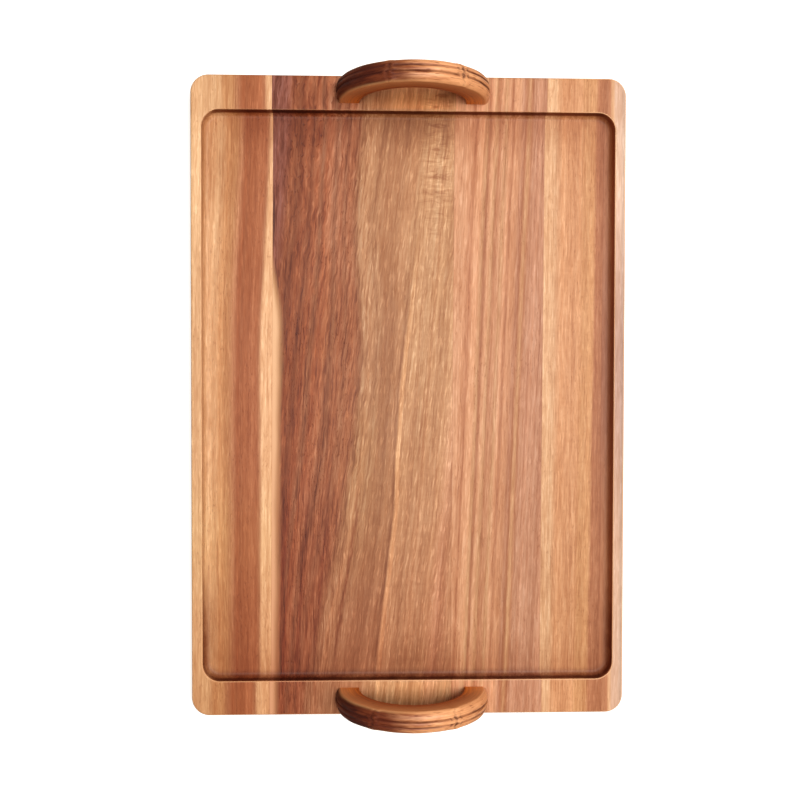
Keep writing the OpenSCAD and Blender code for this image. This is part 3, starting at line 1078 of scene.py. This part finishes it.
class TRAY_OT_board(bpy.types.Operator):
    """Makes the five staves of the board, with the well, the roundings and the screw holes"""
    bl_idname = "tray.board"
    bl_label = "Make board staves"

    def execute(self, context):
        scene = context.scene
        sizes, screws, colours = scene.tray_board, scene.tray_screws, scene.tray_colours
        drift = sizes.glue_drift / MM / BOARD_SIZE[1]
        half = BOARD_SIZE[0] / 2
        edges = (-half, *(place / MM for place in sizes.glue_lines), half)
        holes = [screw_places(node, screws) for node in ("back_handle_screws", "front_handle_screws")]
        for number, stave in enumerate(STAVES):
            left, right = edges[number], edges[number + 1]
            if right <= left:
                raise RuntimeError("the glue lines must run from left to right")
            mesh = board_mesh(sizes)
            if number > 0:
                saw(mesh, left * MM, drift, True)
            if number < len(STAVES) - 1:
                saw(mesh, right * MM, drift, False)
            for centres, low, high in holes:
                for centre in centres:
                    if left < centre[0] < right:
                        mesh = bore(mesh, sizes, screws, centre, low)
            mesh.name = stave["piece"]
            settle(mesh)
            wood = stave_wood(stave, colours, sizes, (left, right))
            add_piece(stave["piece"], mesh, stave["node"], wood)
        return {"FINISHED"}


class TRAY_OT_handles(bpy.types.Operator):
    """Makes the two half-round bamboo handles"""
    bl_idname = "tray.handles"
    bl_label = "Make handles"

    def execute(self, context):
        sizes, colours = context.scene.tray_handles, context.scene.tray_colours
        bamboo = bamboo_finish("bamboo", colours, HANDLE_CENTRE, HANDLE_LOW[2])
        for piece, node, side, joints in (
            ("handle_back", "back_handle", 1, ((54, 0.15), (110, -0.1))),
            ("handle_front", "front_handle", -1, ((59, -0.1), (122, 0.12))),
        ):
            mesh = settle(handle_mesh(piece, sizes, side, joints), ROUND_SHARP)
            add_piece(piece, mesh, node, bamboo)
        return {"FINISHED"}


class TRAY_OT_screws(bpy.types.Operator):
    """Makes the four flat-head screws that hold the handles"""
    bl_idname = "tray.screws"
    bl_label = "Make screws"

    def execute(self, context):
        sizes, colours = context.scene.tray_screws, context.scene.tray_colours
        steel = screw_finish("screw_steel", colours)
        for piece, node in (("screws_back", "back_handle_screws"),
                            ("screws_front", "front_handle_screws")):
            centres, low, high = screw_places(node, sizes)
            mesh = joined(piece, [screw_mesh(piece, sizes, centre, low, high) for centre in centres])
            add_piece(piece, mesh, node, steel)
        return {"FINISHED"}


def add_softbox(name, place, size, power, tone):
    """A square soft light aimed at the middle of the tray."""
    lamp = bpy.data.lights.new(name, "AREA")
    lamp.shape, lamp.size, lamp.energy, lamp.color = "SQUARE", size, power, tone
    thing = bpy.data.objects.new(name, lamp)
    thing.location = place
    thing.rotation_euler = (Vector() - thing.location).to_track_quat("-Z", "Y").to_euler()
    bpy.context.scene.collection.objects.link(thing)


def only_for_camera(tree, seen, other, output):
    """Shows the camera one shader, and every other ray another."""
    path, pick = tree.nodes.new("ShaderNodeLightPath"), tree.nodes.new("ShaderNodeMixShader")
    tree.links.new(path.outputs["Is Camera Ray"], pick.inputs[0])
    tree.links.new(other.outputs[0], pick.inputs[1])
    tree.links.new(seen.outputs[0], pick.inputs[2])
    tree.links.new(pick.outputs[0], tree.nodes[output].inputs[0])


def studio_paper():
    """White paper that glows a little more with the distance, but throws little light on the tray."""
    paper = bpy.data.materials.new("studio_paper")
    paper.use_nodes = True
    tree = paper.node_tree
    shown = tree.nodes["Principled BSDF"]
    shown.inputs["Base Color"].default_value = (0.86, 0.86, 0.86, 1.0)
    shown.inputs["Roughness"].default_value = 0.9
    shown.inputs["Specular IOR Level"].default_value = 0.1
    shown.inputs["Emission Color"].default_value = (1.0, 1.0, 1.0, 1.0)
    place = Value(tree.nodes.new("ShaderNodeTexCoord").outputs["Object"])
    away = Value(add_node(tree, "VectorMath", (place,), operation="LENGTH").outputs["Value"])
    glow = add_node(tree, "MapRange", (away, *GLOW_RANGE, *GLOW_STRENGTH))
    plug(Value(glow.outputs[0]), shown.inputs["Emission Strength"])
    dim = tree.nodes.new("ShaderNodeBsdfDiffuse")
    dim.inputs["Color"].default_value = (0.35, 0.33, 0.31, 1.0)
    only_for_camera(tree, shown, dim, "Material Output")
    return paper


def studio_room(strength):
    """Even warm light all round, behind a pale backdrop."""
    room = bpy.data.worlds.new("room")
    room.use_nodes = True
    seen = room.node_tree.nodes.new("ShaderNodeBackground")
    seen.inputs["Color"].default_value = (0.93, 0.93, 0.93, 1.0)
    seen.inputs["Strength"].default_value = 1.0
    light = room.node_tree.nodes["Background"]
    light.inputs["Color"].default_value = (1.0, 0.82, 0.66, 1.0)
    light.inputs["Strength"].default_value = strength
    only_for_camera(room.node_tree, seen, light, "World Output")
    return room


class TRAY_OT_stage(bpy.types.Operator):
    """Makes the pale floor, the soft studio lights and the camera"""
    bl_idname = "tray.stage"
    bl_label = "Make stage"

    def execute(self, context):
        settings, scene = context.scene.tray_stage, context.scene
        corners = np.array(((-1, -1, 0), (1, -1, 0), (1, 1, 0), (-1, 1, 0))) * FLOOR_HALF
        corners[:, 2] = CAD_BOX[0][2] - FLOOR_GAP
        floor_mesh = bpy.data.meshes.new("studio_floor")
        floor_mesh.from_pydata(corners, [], [(0, 1, 2, 3)])
        floor = bpy.data.objects.new("studio_floor", floor_mesh)
        scene.collection.objects.link(floor)
        floor_mesh.materials.append(studio_paper())

        add_softbox("key_light", (1.6, 0.6, 3.8), 2.2, settings.key_power, (1.0, 0.98, 0.96))
        add_softbox("top_light", (0.05, 0.0, 1.9), 0.7, settings.fill_power, (1.0, 0.95, 0.88))
        scene.world = studio_room(settings.room_light)

        lens = bpy.data.cameras.new("camera")
        lens.lens, lens.sensor_width = settings.lens, 36.0
        camera = bpy.data.objects.new("camera", lens)
        camera.location = (*CAMERA_PLACE, BOARD_TOP * MM + settings.camera_height)
        camera.rotation_euler = tuple(math.radians(turn) for turn in CAMERA_TURN)
        scene.collection.objects.link(camera)
        scene.camera = camera
        scene.view_settings.view_transform = "Standard"
        return {"FINISHED"}


class TRAY_PT_sidebar(bpy.types.Panel):
    """Lists the tray's sizes, colours and operators"""
    bl_idname = "TRAY_PT_sidebar"
    bl_label = "Serving tray"
    bl_space_type = "VIEW_3D"
    bl_region_type = "UI"
    bl_category = "Tray"

    def draw(self, context):
        for group, operator in (("tray_board", TRAY_OT_board), ("tray_colours", None),
                                ("tray_handles", TRAY_OT_handles), ("tray_screws", TRAY_OT_screws),
                                ("tray_stage", TRAY_OT_stage)):
            panel = self.layout.box()
            settings = getattr(context.scene, group)
            for name in settings.__annotations__:
                panel.prop(settings, name)
            if operator:
                panel.operator(operator.bl_idname)


GROUPS = (("tray_board", BoardSizes), ("tray_colours", WoodColours), ("tray_handles", HandleSizes),
          ("tray_screws", ScrewSizes), ("tray_stage", StageSettings))
CLASSES = (*(group for name, group in GROUPS), TRAY_OT_board, TRAY_OT_handles, TRAY_OT_screws,
           TRAY_OT_stage, TRAY_PT_sidebar)


def register():
    for kind in CLASSES:
        bpy.utils.register_class(kind)
    for name, group in GROUPS:
        setattr(bpy.types.Scene, name, PointerProperty(type=group))


def unregister():
    for name, group in GROUPS:
        delattr(bpy.types.Scene, name)
    for kind in reversed(CLASSES):
        bpy.utils.unregister_class(kind)


def main():
    register()
    bpy.ops.tray.board()
    bpy.ops.tray.handles()
    bpy.ops.tray.screws()
    bpy.ops.tray.stage()


if __name__ == "__main__":
    main()
